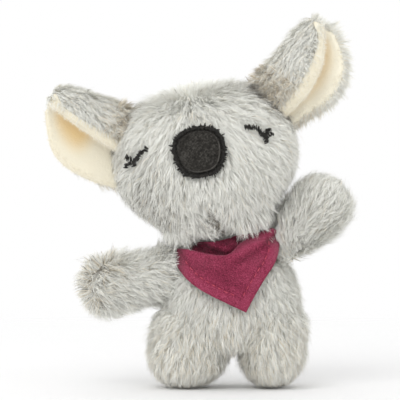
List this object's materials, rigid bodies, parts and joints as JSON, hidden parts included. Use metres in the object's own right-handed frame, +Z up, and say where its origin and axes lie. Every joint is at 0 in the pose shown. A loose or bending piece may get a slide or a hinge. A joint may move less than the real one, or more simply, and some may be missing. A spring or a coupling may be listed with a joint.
{
  "type": "plush koala",
  "caption": "Small stuffed koala with a leaning round head, folded fleece-lined ears, felt nose, stitched closed eyes, stubby limbs and a neck bandana.",
  "frame": {"origin": "bottom centre of the toy's bounding box, on the plane it stands on", "axes": "+Z up, -Y the way the face looks, +X the toy's own left"},
  "size_m": [0.1068, 0.0504, 0.1292],
  "materials": {
    "fur_plush": "matte",
    "wadding": "matte",
    "cream_fleece": "matte",
    "charcoal_felt": "matte",
    "black_thread": "satin",
    "burgundy_cotton": "matte"
  },
  "bodies": {
    "torso": {"torso_skin": "fur_plush", "torso_filling": "wadding", "bandana_collar": "burgundy_cotton"},
    "neck": {"neck_filling": "wadding"},
    "head": {"head_skin": "fur_plush", "head_filling": "wadding", "nose_patch": "charcoal_felt", "nose_border": "black_thread", "right_eye": "black_thread", "left_eye": "black_thread"},
    "right_ear": {"right_ear_back": "fur_plush", "right_ear_lining": "cream_fleece"},
    "left_ear": {"left_ear_back": "fur_plush", "left_ear_lining": "cream_fleece"},
    "right_arm": {"right_arm_skin": "fur_plush", "right_arm_filling": "wadding"},
    "left_arm": {"left_arm_skin": "fur_plush", "left_arm_filling": "wadding"},
    "right_leg": {"right_leg_skin": "fur_plush", "right_leg_filling": "wadding"},
    "left_leg": {"left_leg_skin": "fur_plush", "left_leg_filling": "wadding"},
    "bandana_flap": {"bandana_flap": "burgundy_cotton"}
  },
  "joints": [
    {"name": "head_nod", "type": "hinge", "parent": "torso", "child": "neck", "pos_m": [0.00915, 0.00073, 0.0465], "axis": [1, 0, 0], "range_deg": [-10, 10], "stiffness_Nm_per_rad": 0.03},
    {"name": "head_turn", "type": "hinge", "parent": "neck", "child": "head", "pos_m": [0.00915, 0.00073, 0.0465], "axis": [-0.2028, 0, 0.9792], "range_deg": [-30, 30], "stiffness_Nm_per_rad": 0.02},
    {"name": "right_ear_fold", "type": "hinge", "parent": "head", "child": "right_ear", "pos_m": [-0.02678, 0.00223, 0.08389], "axis": [0.5934, 0, 0.8049], "range_deg": [-20, 20], "stiffness_Nm_per_rad": 0.006},
    {"name": "left_ear_fold", "type": "hinge", "parent": "head", "child": "left_ear", "pos_m": [0.02908, 0.00223, 0.09821], "axis": [-0.9003, 0, 0.4352], "range_deg": [-20, 20], "stiffness_Nm_per_rad": 0.006},
    {"name": "right_arm_swing", "type": "hinge", "parent": "torso", "child": "right_arm", "pos_m": [-0.01485, 0.00073, 0.042], "axis": [-0.2916, 0, 0.9565], "range_deg": [-25, 32], "stiffness_Nm_per_rad": 0.01},
    {"name": "left_arm_swing", "type": "hinge", "parent": "torso", "child": "left_arm", "pos_m": [0.03085, 0.00073, 0.047], "axis": [0.77, 0, -0.638], "range_deg": [-25, 32], "stiffness_Nm_per_rad": 0.01},
    {"name": "right_leg_swing", "type": "hinge", "parent": "torso", "child": "right_leg", "pos_m": [-0.00375, 0.00073, 0.0205], "axis": [1, 0, 0], "range_deg": [-15, 25], "stiffness_Nm_per_rad": 0.12},
    {"name": "left_leg_swing", "type": "hinge", "parent": "torso", "child": "left_leg", "pos_m": [0.02505, 0.00073, 0.0205], "axis": [1, 0, 0], "range_deg": [-15, 25], "stiffness_Nm_per_rad": 0.12},
    {"name": "bandana_lift", "type": "hinge", "parent": "torso", "child": "bandana_flap", "pos_m": [0.01055, -0.01367, 0.0454], "axis": [-1, 0, 0], "range_deg": [0, 60]}
  ]
}
